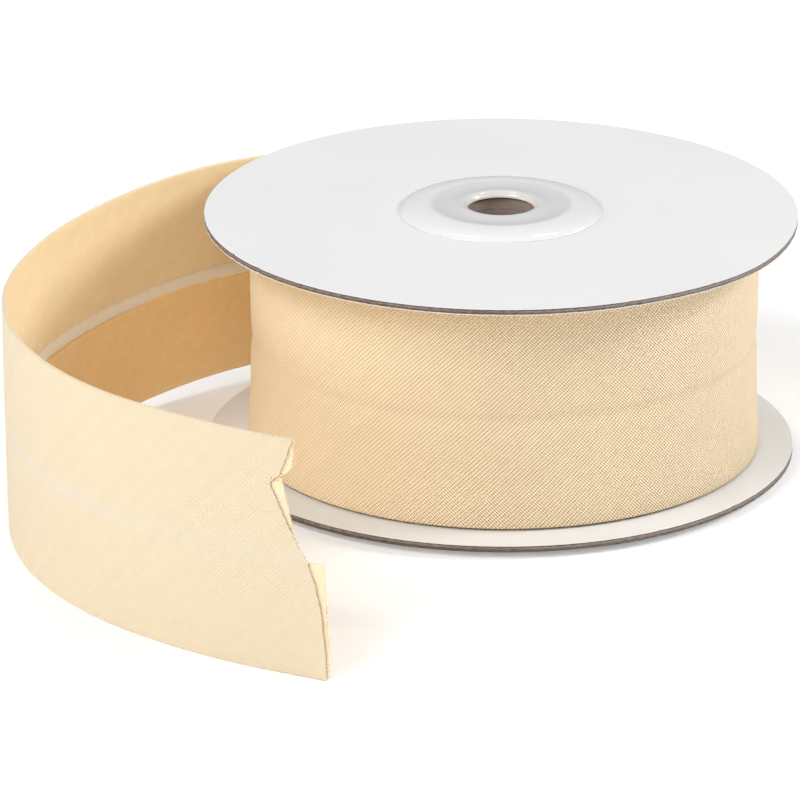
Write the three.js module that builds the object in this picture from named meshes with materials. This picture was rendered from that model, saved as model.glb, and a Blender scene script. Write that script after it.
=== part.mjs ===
// Roll of bias tape. Folded cotton tape is wound on a spool of two cardboard discs, a paper
// tube and two moulded hub caps, and its loose end stands in a wide curve beside the spool.
// Millimetres, +Z up. The origin is the bottom centre of the whole part's box.
import * as THREE from 'three';

// Clearance kept between neighbouring pieces
const gap = 0.3;

// Spool
const flangeRadius = 51;
const flangeThickness = 1.1;
const flangeHoleRadius = 11;
const tubeInnerRadius = 6.2;
const tubeOuterRadius = 9.2;
const collarInnerRadius = tubeOuterRadius + gap;
const collarOuterRadius = flangeHoleRadius - gap;
const collarDepth = 7;
const flangeSegments = 96;
const hubSegments = 48;

// Tape, folded to its finished width
const tapeWidth = 40;
const sidePlay = 0.35;
const layerThickness = 1;
const foldedThickness = 2 * layerThickness + gap;
const foldRound = 1;
const leastRise = 0.3;
const lowerFlapWidth = 18.2;
const upperFlapWidth = 19.2;

// Heights above the surface that the spool stands on
const crestHeight = 1.3;
const lowerFlangeUnderside = crestHeight;
const lowerFlangeFace = lowerFlangeUnderside + flangeThickness;
const tapeFoot = lowerFlangeFace + sidePlay;
const upperFlangeUnderside = tapeFoot + tapeWidth + sidePlay;
const upperFlangeFace = upperFlangeUnderside + flangeThickness;

// Wound roll: its outline is one turn of a spiral, from where the loose end leaves it
const joinAngle = THREE.MathUtils.degToRad(88);
const rollRadiusAtJoin = 42.6;
const turnStep = foldedThickness + gap;
const rollStations = 72;
const stepWidth = THREE.MathUtils.degToRad(1.4);
const rollFootSwell = 0.55;
const rollSide = [
  { up: 0, swell: rollFootSwell },
  { up: 3, swell: 0.45 },
  { up: 9, swell: 0.1 },
  { up: 17, swell: -0.15 },
  { up: 20, swell: -0.45 },
  { up: 23, swell: -0.15 },
  { up: 33, swell: 0 },
  { up: 40, swell: -0.1 },
];

// Loose end, from the roll to its cut: each bend turns left over its length, and the foot
// ends that far outside the upper edge
const tailStart = 0.8;
const tailBends = [
  { length: 30.6, turn: 18.3, footOut: 3.6 },
  { length: 30.6, turn: 24.5, footOut: 0.4 },
  { length: 30.6, turn: 19.7, footOut: -0.6 },
  { length: 30.6, turn: 25.9, footOut: -0.4 },
  { length: 30.6, turn: 25.5, footOut: 0 },
  { length: 30.6, turn: 25.6, footOut: 0.3 },
  { length: 30.6, turn: 16.5, footOut: 0.4 },
];
const clearsFlangeAt = 46;
const touchesFloorAt = 115;
const tailStations = 44;
const flapsOpenFrom = 190;
const flapOpening = 1.2;

// Cut outline: the distance along the tape at which each layer ends, by height up the tape
const cutBegins = 196;
const faceCut = [
  { up: 0, end: 222.4 },
  { up: 4.5, end: 222.3 },
  { up: 11.5, end: 221.5 },
  { up: 16, end: 220.6 },
  { up: 19.6, end: 219.4 },
  { up: 22.4, end: 217.1 },
  { up: 32, end: 212.6 },
  { up: 40, end: 216.2 },
];
const flapCut = [
  { up: 0, end: 222.4 },
  { up: 5, end: 223 },
  { up: 11, end: 222.7 },
  { up: 20, end: 222.2 },
  { up: 20.1, end: 218.2 },
  { up: 27.7, end: 216.4 },
  { up: 33.3, end: 215 },
  { up: 40, end: 216.2 },
];

// Hub cap, from its rim to its throat: heights above the face of the cardboard disc
const capProfile = [
  { radius: 17.65, height: gap },
  { radius: 17.65, height: 0.55 },
  { radius: 16.4, height: 0.8 },
  { radius: 14.8, height: 1.15 },
  { radius: 13, height: crestHeight },
  { radius: 11.8, height: crestHeight },
  { radius: 10.2, height: 1.15 },
  { radius: 8.2, height: 0.95 },
  { radius: 6.6, height: 0.85 },
  { radius: 5.9, height: 0.7 },
  { radius: 5.65, height: 0.5 },
  { radius: 5.65, height: gap },
  { radius: collarInnerRadius, height: gap },
  { radius: collarInnerRadius, height: -collarDepth },
  { radius: collarOuterRadius, height: -collarDepth },
  { radius: collarOuterRadius, height: gap },
];

const materials = {
  cardboard: new THREE.MeshStandardMaterial({ color: 0xeeeeec, roughness: 0.62, metalness: 0 }),
  tube: new THREE.MeshStandardMaterial({ color: 0x7d6e62, roughness: 0.85, metalness: 0 }),
  plastic: new THREE.MeshStandardMaterial({ color: 0xeeeeea, roughness: 0.18, metalness: 0 }),
  tape: new THREE.MeshStandardMaterial({ color: 0xf1d9ae, roughness: 0.9, metalness: 0 }),
};

// A solid of revolution about Z from a closed outline that runs up its outer side
function revolve(outline, segments) {
  const points = outline.map((row) => new THREE.Vector2(row.radius, row.height));
  points.push(points[0].clone());
  const geometry = new THREE.LatheGeometry(points, segments);
  geometry.rotateX(Math.PI / 2);
  return geometry;
}

// A flat or tall ring of four corners
function ring(innerRadius, outerRadius, bottom, top, segments) {
  const outline = [
    { radius: outerRadius, height: bottom },
    { radius: outerRadius, height: top },
    { radius: innerRadius, height: top },
    { radius: innerRadius, height: bottom },
  ];
  return revolve(outline, segments);
}

// Joins rings of matching points into a surface; a closed sweep also joins the last to the first
function sweep(rings, closed, capFaces) {
  const count = rings[0].length;
  const positions = rings.flat().flatMap((point) => [point.x, point.y, point.z]);
  const indices = [];
  const steps = closed ? rings.length : rings.length - 1;
  for (let step = 0; step < steps; step += 1) {
    const here = step * count;
    const next = ((step + 1) % rings.length) * count;
    for (let i = 0; i < count; i += 1) {
      const j = (i + 1) % count;
      indices.push(here + i, next + i, next + j);
      indices.push(here + i, next + j, here + j);
    }
  }
  const last = (rings.length - 1) * count;
  for (const [a, b, c] of capFaces) {
    indices.push(a, b, c);
    indices.push(last + a, last + c, last + b);
  }
  const geometry = new THREE.BufferGeometry();
  geometry.setAttribute('position', new THREE.Float32BufferAttribute(positions, 3));
  geometry.setIndex(indices);
  geometry.computeVertexNormals();
  return geometry;
}

// The value of a table's column at a place between two of its rows
function valueAt(table, key, column, place) {
  const after = table.findIndex((row) => row[key] >= place);
  if (after === 0) {
    return table[0][column];
  }
  if (after < 0) {
    return table[table.length - 1][column];
  }
  const low = table[after - 1];
  const high = table[after];
  const share = (place - low[key]) / (high[key] - low[key]);
  return THREE.MathUtils.lerp(low[column], high[column], share);
}

function hubCap() {
  return revolve(capProfile, hubSegments);
}

// The roll's cross-section: its wound side, then the bore that steps out over the collars
function rollSection(radius) {
  const collarReach = collarDepth - flangeThickness - sidePlay + gap;
  const wide = flangeHoleRadius;
  const narrow = tubeOuterRadius + gap;
  const side = rollSide.map((row) => ({ out: radius + row.swell, up: row.up }));
  const bore = [
    { out: wide, up: tapeWidth },
    { out: wide, up: tapeWidth - collarReach },
    { out: narrow, up: tapeWidth - collarReach },
    { out: narrow, up: collarReach },
    { out: wide, up: collarReach },
    { out: wide, up: 0 },
  ];
  return side.concat(bore);
}

function tapeRoll() {
  const rings = [];
  for (let i = 0; i <= rollStations; i += 1) {
    const turn = i === rollStations ? 2 * Math.PI - stepWidth : (2 * Math.PI * i) / rollStations;
    const angle = joinAngle + turn;
    const radius = rollRadiusAtJoin + (turnStep * turn) / (2 * Math.PI - stepWidth);
    rings.push(rollSection(radius).map((point) => new THREE.Vector3(
      point.out * Math.cos(angle),
      point.out * Math.sin(angle),
      tapeFoot + point.up,
    )));
  }
  return sweep(rings, true, []);
}

// Where the middle of the loose end runs in plan, and its heading there
function tailPlace(along) {
  const startRadius = rollRadiusAtJoin + rollFootSwell + gap + foldedThickness / 2;
  let x = startRadius * Math.cos(joinAngle);
  let y = startRadius * Math.sin(joinAngle);
  let heading = joinAngle + Math.PI / 2;
  let left = along;
  for (const bend of tailBends) {
    const run = Math.min(left, bend.length);
    const turn = (THREE.MathUtils.degToRad(bend.turn) * run) / bend.length;
    const chord = turn === 0 ? run : (run * Math.sin(turn / 2)) / (turn / 2);
    x += chord * Math.cos(heading + turn / 2);
    y += chord * Math.sin(heading + turn / 2);
    heading += turn;
    left -= run;
  }
  x += left * Math.cos(heading);
  y += left * Math.sin(heading);
  return { x, y, heading };
}

function footOutAt(along) {
  let end = 0;
  const rows = [{ along: 0, footOut: 0 }];
  for (const bend of tailBends) {
    end += bend.length;
    rows.push({ along: end, footOut: bend.footOut });
  }
  return valueAt(rows, 'along', 'footOut', along);
}

// One side of a layer: points up the tape at one depth, at the heights of its cut outline's
// rows that aren't too near its two ends
function layerSide(cut, from, to, depth) {
  const low = Math.min(from, to);
  const high = Math.max(from, to);
  const isBetween = (up) => up > low + leastRise && up < high - leastRise;
  const inner = cut.map((row) => row.up).filter(isBetween);
  const ups = [low, ...inner, high];
  if (from > to) {
    ups.reverse();
  }
  return ups.map((up) => ({ up, depth, cut }));
}

// The folded section: the outer face, then both edges folded behind it and not meeting.
// Depth is measured outwards, and each flap opens about its fold by the given amount.
function tapeSection(opening) {
  const outer = foldedThickness / 2;
  const slot = gap / 2;
  const top = tapeWidth;
  const upperEdge = top - upperFlapWidth;
  const foldFlat = outer * 0.4;
  const swing = (points, fold, width) => points.map((point) => ({
    ...point,
    depth: point.depth - (opening * Math.abs(point.up - fold)) / width,
  }));
  const upperBack = swing(layerSide(flapCut, top - foldRound, upperEdge, -outer), top, upperFlapWidth);
  const upperFront = swing(layerSide(flapCut, upperEdge, top - foldRound, -slot), top, upperFlapWidth);
  const lowerFront = swing(layerSide(flapCut, foldRound, lowerFlapWidth, -slot), 0, lowerFlapWidth);
  const lowerBack = swing(layerSide(flapCut, lowerFlapWidth, foldRound, -outer), 0, lowerFlapWidth);
  return [
    { up: 0, depth: foldFlat, cut: faceCut },
    ...layerSide(faceCut, foldRound, top - foldRound, outer),
    { up: top, depth: foldFlat, cut: faceCut },
    { up: top, depth: -foldFlat, cut: flapCut },
    ...upperBack,
    ...upperFront,
    ...layerSide(faceCut, top - foldRound, foldRound, slot),
    ...lowerFront,
    ...lowerBack,
    { up: 0, depth: -foldFlat, cut: flapCut },
  ];
}

function tailPoint(point, along) {
  const cutShare = THREE.MathUtils.clamp((along - cutBegins) / (faceCut[0].end - cutBegins), 0, 1);
  const cutEnd = valueAt(point.cut, 'up', 'end', point.up);
  const place = along + cutShare * (cutEnd - faceCut[0].end);
  const { x, y, heading } = tailPlace(place);
  const lean = footOutAt(place) * (0.5 - point.up / tapeWidth);
  const out = point.depth + lean;
  const settle = THREE.MathUtils.smoothstep(place, clearsFlangeAt, touchesFloorAt);
  return new THREE.Vector3(
    x + out * Math.sin(heading),
    y - out * Math.cos(heading),
    point.up + tapeFoot * (1 - settle),
  );
}

function tapeTail() {
  const rings = [];
  for (let i = 0; i <= tailStations; i += 1) {
    const along = THREE.MathUtils.lerp(tailStart, faceCut[0].end, i / tailStations);
    const opened = THREE.MathUtils.smoothstep(along, flapsOpenFrom, faceCut[0].end);
    const section = tapeSection(flapOpening * opened);
    rings.push(section.map((point) => tailPoint(point, along)));
  }
  const outline = tapeSection(0).map((point) => new THREE.Vector2(point.depth, point.up));
  const capFaces = THREE.ShapeUtils.triangulateShape(outline, []);
  return sweep(rings, false, capFaces);
}

function piece(name, geometry, material) {
  const mesh = new THREE.Mesh(geometry, material);
  mesh.name = name;
  return mesh;
}

function buildSpool() {
  const spool = new THREE.Group();
  const disc = ring(flangeHoleRadius, flangeRadius, 0, flangeThickness, flangeSegments);
  const lowerDisc = piece('flange_bottom', disc, materials.cardboard);
  lowerDisc.position.z = lowerFlangeUnderside;
  const upperDisc = piece('flange_top', disc, materials.cardboard);
  upperDisc.position.z = upperFlangeUnderside;
  const tube = piece(
    'core_tube',
    ring(tubeInnerRadius, tubeOuterRadius, lowerFlangeUnderside, upperFlangeFace, hubSegments),
    materials.tube,
  );
  const upperCap = piece('hub_cap_top', hubCap(), materials.plastic);
  upperCap.position.z = upperFlangeFace;
  const lowerCap = piece('hub_cap_bottom', hubCap(), materials.plastic);
  lowerCap.position.z = lowerFlangeUnderside;
  lowerCap.rotation.x = Math.PI;
  spool.add(lowerDisc, upperDisc, tube, upperCap, lowerCap);
  return spool;
}

function buildPart() {
  const part = new THREE.Group();
  part.add(buildSpool());
  part.add(piece('tape_roll', tapeRoll(), materials.tape));
  part.add(piece('tape_tail', tapeTail(), materials.tape));
  const box = new THREE.Box3().setFromObject(part);
  const centre = box.getCenter(new THREE.Vector3());
  part.position.set(-centre.x, -centre.y, 0);
  return part;
}

export default buildPart();
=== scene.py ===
# Looks of a roll of bias tape: two cardboard discs on a paper tube with moulded hub caps, the
# wound tape between them and its loose folded end. Tables are in millimetres and degrees, and
# places are measured from the spool's axis and from the surface that the spool stands on.

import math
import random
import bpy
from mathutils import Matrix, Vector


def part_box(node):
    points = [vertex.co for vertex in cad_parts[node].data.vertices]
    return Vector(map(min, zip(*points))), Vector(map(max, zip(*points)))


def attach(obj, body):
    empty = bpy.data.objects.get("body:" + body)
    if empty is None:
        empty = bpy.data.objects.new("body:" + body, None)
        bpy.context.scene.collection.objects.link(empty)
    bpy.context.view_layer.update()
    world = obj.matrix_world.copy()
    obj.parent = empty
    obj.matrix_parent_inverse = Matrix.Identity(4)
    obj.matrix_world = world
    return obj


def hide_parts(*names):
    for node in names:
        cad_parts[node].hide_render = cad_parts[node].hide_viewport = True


bl_info = {
    "name": "Roll of bias tape",
    "version": (1, 0, 0),
    "blender": (4, 5, 0),
    "location": "View3D > Sidebar > Bias tape",
    "description": "Builds a spool of folded bias tape around its packed frame",
    "category": "Add Mesh",
}

import bmesh
import bpy
from bpy.props import FloatProperty, FloatVectorProperty, IntProperty, PointerProperty
from mathutils import Matrix, Vector, noise

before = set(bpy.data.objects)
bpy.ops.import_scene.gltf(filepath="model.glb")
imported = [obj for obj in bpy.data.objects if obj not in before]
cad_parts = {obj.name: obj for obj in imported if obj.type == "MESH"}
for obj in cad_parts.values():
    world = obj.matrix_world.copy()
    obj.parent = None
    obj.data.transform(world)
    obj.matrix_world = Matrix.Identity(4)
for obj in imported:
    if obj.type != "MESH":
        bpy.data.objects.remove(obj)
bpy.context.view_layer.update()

MM = 0.001
PER_MM = 1 / MM
TURN = 2 * math.pi
BODY = "root"

disc_low, disc_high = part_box("flange_top")
spool_axis = (disc_low + disc_high) / 2
disc_radius = (disc_high.x - disc_low.x) / 2 / MM
upper_disc_top = disc_high.z / MM
upper_disc_bottom = disc_low.z / MM
disc_thickness = upper_disc_top - upper_disc_bottom


def table(columns, *rows):
    """Rows of values under the names of their columns."""
    return [dict(zip(columns, row)) for row in rows]


# Tape: its finished width, the flaps folded behind its face, and where it stands on the spool
TAPE_WIDTH = 40
LOWER_FLAP = 18.2
UPPER_FLAP = 19.2
TAPE_FOOT = 2.75

# Wound roll: its bore on the tube, the wider bore that the discs share round the caps' collars,
# how deep that goes, and its turns, each with its rings of faces and the groove beside it
ROLL_BORE = 9.5
COLLAR_BORE = 11
COLLAR_REACH = 5.85
TURN_THICKNESS = 0.85
RINGS_PER_TURN = 4
TURN_SEGMENTS = 150
TURN_NOTCH = 0.3

# Where the loose end leaves the roll, the roll's outline over the turn that ends there, and how
# far its side swells by height up the tape
JOIN_ANGLE = math.radians(88)
ROLL_OUTLINE = table(
    ("turn", "radius"),
    (0, 42.6), (92, 43.26), (182, 43.9), (272, 44.56), (316, 44.25), (360, 43.45),
)
ROLL_SIDE = table(
    ("up", "swell"),
    (0, 0.55), (3, 0.45), (9, 0.1), (17, -0.12), (19.5, -0.4), (22, -0.15), (33, 0), (40, -0.1),
)

# The outermost turn's start is tucked under its end for this many degrees, and the turns below
# step in over a few more
TUCKED_TURN = 25
TUCKED_OVER = 6

# The flaps lie pressed to the face over this width at their raw edges
PRESSED_EDGE = 4

# Soft unevenness of the cloth on the roll and on the loose end
ROLL_RIPPLE = {"depth": 0.06, "along": 17, "up": 13, "seed": 3}
TAIL_RIPPLE = {"depth": 0.22, "along": 31, "up": 26, "seed": 7}

# Loose end: each bend turns left over its length, and the foot ends that far outside the top
TAIL_START_RADIUS = 44.6
TAIL_BENDS = table(
    ("length", "turn", "foot_out"),
    (30.6, 18.3, 3.6),
    (30.6, 24.5, 0.4),
    (30.6, 19.7, -0.6),
    (30.6, 25.9, -0.4),
    (30.6, 25.5, 0),
    (30.6, 25.6, 0.3),
    (30.6, 16.5, 0.4),
)

# Places along the loose end, from where it leaves the roll, how much of the way its flaps close
# there, and the width beside each fold that stays round
TAIL_LENGTH = 222.4
ROLL_SWELL_ENDS = 32
LEAVES_ROLL_BY = 40
CLEARS_DISC_AT = 46
TAIL_BEGINS = 4
TAIL_IS_FREE_AT = 60
TOUCHES_FLOOR_AT = 115
FLAPS_CLOSE_FROM = 196
FLAPS_CLOSE_BY = 212
FLAPS_CLOSED_SHARE = 0.7
FOLD_STAYS_ROUND = 1.5

# From here on the flat cloth is stretched or shortened to its cut outline
CUT_BEGINS = 196

# Looks of the cloth, by the distance along the tape from where it leaves the roll: the ribs stand
# out at the roll's front, with painted shade where light grazes it, the painted shade of its valley
# deepens, and the pale line of painted light through the single layer on the loose end fades
GRAZED_ROLL_FRONT = (-157, -88)
GRAZED_ROLL_FRONT_FADE = 24
VALLEY_SHADE_DEEPENS = (-190, -150)
THROUGH_LIGHT_LINE_FADES = (150, 205)

# Width of the painted warm shade on the face under the disc, pitch of the ribs inside the gap, and how
# far a speck of lint is smudged
DISC_SHADE_BAND = 7
BACK_RIB_PITCH = 0.5
LINT_SMUDGE = 1.6

# Cut outline: how far along the tape each layer ends, by height up the tape
FACE_CUT = table(
    ("up", "end"),
    (0, 222.2), (4.5, 222.0), (11.5, 221.2), (16, 220.2), (19.6, 218.85), (22.4, 217.0),
    (27.5, 214.3), (32.2, 212.1), (33.5, 213.8), (36, 214.8), (40, 216.2),
)
FLAP_CUT = table(
    ("up", "end"),
    (0, 222.2), (5, 222.5), (10, 222.1), (16, 221.7), (20, 221.7), (20.1, 217.3), (22.8, 216.6),
    (27.2, 215.4), (33.2, 213.9), (34.2, 215.2), (35.2, 215.9), (37.5, 216.1), (40, 216.2),
)

# The lower flap widens towards the cut, mostly at its raw edge
FLAP_GROWTH = 1.4
FLAP_GROWS_FROM = 203
FLAP_GROWN_AT = 218
FLAP_GROWS_WITHIN = 9

# Frayed edges: the waves of the flaps' raw edges, and the fine jags of the cut
FRAYED_WITHIN = 2.5
FRAYED_WAVES = table(
    ("depth", "along", "seed"),
    (0.12, 3.1, 5),
    (0.06, 0.9, 9),
)
CUT_JAGS = {"depth": 0.16, "across": 1.9, "up": 0.3, "seed": 11}
CUT_JAGS_FADE = 24

# Thread ends at the cut: how deep they start, and the ranges of their reach and slant
THREAD_ROOT = 0.3
THREAD_REACH = (0.12, 0.5)
THREAD_SLANT = (0.3, 1.0)
THREAD_CURL = 0.08
THREAD_RADII = (0.07, 0.03)

# How the sheet of cloth is divided: its raw edges, the valley over the gap between the flaps,
# and the last columns before the cut, which are divided once more
RAW_EDGE = 0.25
VALLEY_FROM = 16.5
VALLEY_TO = 22.5
FINE_COLUMNS = 3

# Cardboard edge, from the lower lining up through the pressed plies to the upper face
PLIES = table(
    ("up", "inset"),
    (0.0, 0.05), (0.05, 0.0), (0.2, 0.0), (0.26, 0.05), (0.45, 0.02), (0.58, 0.06), (0.75, 0.02),
    (0.9, 0.05), (1.0, 0.01), (1.06, 0.01), (1.1, 0.06),
)

# Heights of the edge's paler plies and of the dark ply under the face, and the stretch from left
# to right over which painted light from the right makes the edge paler
PALE_PLIES = (0.5, 0.88)
DARK_PLY = (0.86, 1.0)
PAINTED_LIGHT_SIDE = (-15, 42)

# Disc: its rings of faces, the width of its ragged rim, how near to the bore or the face paper a
# face still belongs to it, how closely its gentle waves and the rim's rags follow each other, the
# sag's angle and spread, and the nicks round the rim
BOARD_RINGS = (16, 22, 29, 36, 41, 45, 48, 50)
RIM_BAND = 0.2
CLOSE = 0.03
DISC_WAVES = 1.3
RIM_RAGS = 60
PLY_RAGS = 5
SAG_ANGLE = -33
SAG_SPREAD = 17
NICKS = table(
    ("angle", "width", "depth"),
    (205, 1.2, 0.25),
    (214, 0.7, 0.3),
    (292, 1.0, 0.2),
    (311, 0.6, 0.2),
    (40, 1.0, 0.25),
    (130, 0.8, 0.2),
)

# Hub cap, from under its rim over the crest and dish to its throat, then back under it:
# heights above the disc that it sits on
CAP_PROFILE = table(
    ("radius", "height"),
    (17.55, 0.01), (17.65, 0.03), (17.64, 0.1), (17.53, 0.22), (17.25, 0.41), (16.9, 0.6),
    (16.5, 0.745), (16.0, 0.885), (15.3, 1.025), (14.5, 1.14), (13.6, 1.235), (12.8, 1.29),
    (12.3, 1.29), (11.8, 1.26), (11.2, 1.2), (10.4, 1.13), (9.4, 1.1), (8.4, 1.14), (7.6, 1.22),
    (7.0, 1.27), (6.6, 1.25), (6.3, 1.17), (6.05, 1.02), (5.86, 0.82), (5.72, 0.58), (5.65, 0.38),
    (5.66, 0.26), (5.75, 0.2), (6.0, 0.18), (9.5, 0.08), (9.5, -6.9), (9.6, -7), (10.6, -7),
    (10.7, -6.9), (10.7, 0.02),
)

# The cap's painted shade over the dark hollow fades over this much on both sides of the hollow's
# edge, and its cream tint of painted bounce light grows from the first of these radii in to the second
THIN_FADE = 0.75
THROAT_BOUNCE_TINT = (6.2, 5.75)

# Paper tube, inside and out, with its edges' softness and the seam's place in a turn
TUBE_BORE = 6.2
TUBE_OUTSIDE = 9.2
TUBE_FOOT = 1.3
TUBE_SOFTNESS = 0.08
SEAM = (0.485, 0.5)

# Camera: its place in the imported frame, its fall below the horizon and its lens
CAMERA_PLACE = (-0.475, -950.987, 376.456)
CAMERA_FALL = math.radians(20.597)
CAMERA_LENS = 270
CAMERA_SENSOR = 36

# Floor, the pale paper wall all round it, and where the floor grows as bright as that wall, in
# metres
FLOOR_REACH = 3
WALL_RADIUS = 2.9
WALL_HEIGHT = 1.2
LIT_FROM = 1.3
LIT_FULLY_AT = 1.5

# Soft rectangular lights round the spool: how high, which way from the camera's side, and their
# sizes in metres
LIGHT_DISTANCE = 1.6
LIGHT_TARGET = Vector((0, 0, 0.03))
LIGHTS = table(
    ("name", "power", "up", "bearing", "width", "height"),
    ("key", "key", 45, -50, 0.8, 0.7),
    ("front", "front", 33, -10, 1.0, 0.6),
    ("left", "left", 14, -80, 0.8, 0.4),
    ("right", "right", 32, 95, 0.45, 0.45),
    ("fill", "fill", 38, 65, 0.5, 0.5),
    ("rim", "rim", 38, 125, 0.5, 0.5),
    ("backdrop", "backdrop", 6, 180, 2, 0.5),
    ("glint_left", "glint", 60, 199, 0.2, 0.14),
    ("glint_right", "glint", 54, 156, 0.18, 0.14),
)


def value_at(rows, key, column, place):
    """A table's column at a place between two of its rows, on straight lines."""
    if place <= rows[0][key]:
        return rows[0][column]
    for low, high in zip(rows, rows[1:]):
        if place <= high[key]:
            share = (place - low[key]) / (high[key] - low[key])
            return low[column] + share * (high[column] - low[column])
    return rows[-1][column]


def curve_at(rows, key, column, place):
    """A table's column at a place between two of its rows, on a smooth curve."""
    last = len(rows) - 1
    place = min(max(place, rows[0][key]), rows[last][key])
    index = 0
    while index < last - 1 and rows[index + 1][key] < place:
        index += 1

    def slope(row):
        before = rows[max(row - 1, 0)]
        after = rows[min(row + 1, last)]
        return (after[column] - before[column]) / (after[key] - before[key])

    low = rows[index]
    high = rows[index + 1]
    width = high[key] - low[key]
    t = (place - low[key]) / width
    start = (2 * t**3 - 3 * t**2 + 1) * low[column] + (t**3 - 2 * t**2 + t) * width * slope(index)
    end = (3 * t**2 - 2 * t**3) * high[column] + (t**3 - t**2) * width * slope(index + 1)
    return start + end


def smooth_step(low, high, place):
    """A smooth rise from 0 to 1 between two places."""
    share = min(max((place - low) / (high - low), 0), 1)
    return share * share * (3 - 2 * share)


def ripple(x, y, z=0.0):
    """Soft unevenness from -1 to 1 that is the same on every run."""
    return noise.noise(Vector((x, y, z)))


def shade(name, description, rgb):
    """A colour that a user may change."""
    return FloatVectorProperty(
        name=name, description=description, subtype="COLOR", size=3, min=0, max=1, default=rgb
    )


def length(name, description, millimetres):
    """A size that a user may change."""
    return FloatProperty(
        name=name, description=description, default=millimetres * MM, unit="LENGTH", precision=5
    )


def level(name, description, amount):
    """An even brightness that a user may change."""
    return FloatProperty(name=name, description=description, default=amount, min=0)


def power(name, description, watts):
    """A light's power that a user may change."""
    return FloatProperty(name=name, description=description, default=watts, min=0, unit="POWER")


class BoardSettings(bpy.types.PropertyGroup):
    """Sizes and colours of the two cardboard discs"""

    segments: IntProperty(name="Segments", description="Steps round a disc", default=360, min=90)
    sag: length("Sag", "How far the upper disc's right front rim hangs down", 0.4)
    warp: length("Warp", "Gentle waviness of both discs at their rims", 0.06)
    tear: length("Ragged edge", "Roughness of the cut edge", 0.035)
    lining_height: length("Lining", "Height of the pale lower lining on the edge", 0.23)
    face: shade("Face", "White face paper", (0.757, 0.757, 0.755))
    face_worn: shade("Worn face", "Slightly duller patches of the face paper", (0.737, 0.737, 0.737))
    core_dark: shade("Dark core", "Darkest plies of the cut edge", (0.085, 0.064, 0.05))
    core_pale: shade("Pale core", "Palest plies of the cut edge", (0.3, 0.25, 0.212))
    lining: shade("Lining colour", "Cut lining below the core", (0.7, 0.62, 0.57))


class HubSettings(bpy.types.PropertyGroup):
    """Sizes and colours of the moulded hub caps"""

    segments: IntProperty(name="Segments", description="Steps round a cap", default=160, min=48)
    thin_radius: length("Thin radius", "Radius inside which the cap has no board under it", 12.1)
    plastic: shade("Plastic", "White plastic over the board", (0.785, 0.785, 0.783))
    # Painted shade: the dark hollow under the cap showing through the thin plastic
    plastic_hollow_shade: shade("Thin plastic", "Greyer plastic over the hollow", (0.66, 0.66, 0.657))
    # Painted bounce light: a cream tint inside the throat
    lip_bounce_tint: shade("Lip", "Cream tint at the throat", (0.75, 0.71, 0.64))


class TubeSettings(bpy.types.PropertyGroup):
    """Colours of the paper tube"""

    segments: IntProperty(name="Segments", description="Steps round the tube", default=128, min=48)
    seam_lead: length("Seam lead", "Height that the wound seam climbs in one turn", 24)
    paper: shade("Paper", "Brown-grey wound paper", (0.27, 0.207, 0.17))
    paper_dark: shade("Dark paper", "Darker fibres and the seam", (0.215, 0.162, 0.134))


class TapeSettings(bpy.types.PropertyGroup):
    """Sizes and colours of the folded tape"""

    cloth: length("Cloth", "Thickness of the cloth", 0.28)
    half_fold: length("Half fold", "Half the distance between the face and the flaps", 0.24)
    rib_pitch: length("Rib pitch", "Distance between the thick threads", 0.568)
    bead_pitch: length("Bead pitch", "Distance between the fine threads", 0.39)
    loose_threads: IntProperty(name="Loose threads", description="Thread ends at the cut", default=110)
    # Each pit colour is darker than its grain: painted shade in the hollows between the threads, over
    # a bump of the same weave
    grain: shade("Grain", "Tops of the threads on the roll", (1.0, 0.835, 0.585))
    pit: shade("Pit", "Pits between the threads on the roll", (0.44, 0.275, 0.14))
    # The loose end's paler, less saturated colours are painted light: its stronger light and the light
    # through its loose cloth
    tail_grain: shade("Tail grain", "Tops of the threads on the loose end", (0.73, 0.625, 0.455))
    tail_pit: shade("Tail pit", "Pits between the threads on the loose end", (0.575, 0.44, 0.285))
    # The flaps' deeper, more saturated colours are painted shade and light through the cloth inside
    # the loop
    flap_shade_grain: shade("Flap grain", "Tops of the threads on the flaps", (0.97, 0.77, 0.475))
    flap_shade_pit: shade("Flap pit", "Pits between the threads on the flaps", (0.905, 0.655, 0.335))
    # The lower flap's still deeper colours are more of that painted shade
    lower_flap_shade_grain: shade("Lower flap grain", "Threads' tops on the lower flap", (1.0, 0.685, 0.34))
    lower_flap_shade_pit: shade("Lower flap pit", "Pits on the lower flap", (0.92, 0.585, 0.23))
    # The back's lighter colours are painted light through the cloth, which fills the face's shadow
    # near the cut
    back_through_light_grain: shade("Back grain", "Tops of the threads on the cloth's back", (0.86, 0.715, 0.485))
    back_through_light_pit: shade("Back pit", "Pits between the threads on the cloth's back", (0.75, 0.59, 0.37))
    # Painted light through the single layer in the gap, also used for the flaps' pale haze
    haze_and_through_light: shade("Single layer", "Pale cloth where the flaps leave a gap", (1.0, 0.93, 0.8))
    # Painted light through the single layer over the gap
    through_light_line: shade("Thin cloth", "The face's cooler line over the gap", (0.66, 0.585, 0.475))
    lint: shade("Lint", "Specks of lint", (0.95, 0.9, 0.8))


class StageSettings(bpy.types.PropertyGroup):
    """Light and floor of the studio"""

    floor: shade("Floor", "Plain pale floor", (0.95, 0.95, 0.95))
    wall: level("Wall", "Brightness of the pale wall behind", 0.94)
    glow: level("Glow", "Strength of the floor's own even light", 0.1)
    sky: level("Sky", "Strength of the even light all round", 0.17)
    key: power("Key", "Power of the high front left light", 12.8)
    front: power("Front", "Power of the light over the camera", 6.1)
    left: power("Left", "Power of the low light on the left", 7.8)
    right: power("Right", "Power of the light on the right", 11.9)
    fill: power("Fill", "Power of the front right light", 3.4)
    rim: power("Rim", "Power of the rear right light", 1.5)
    backdrop: power("Backdrop", "Power of the low light behind", 2.8)
    glint: power("Glint", "Power of each small light behind", 2.0)


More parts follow.
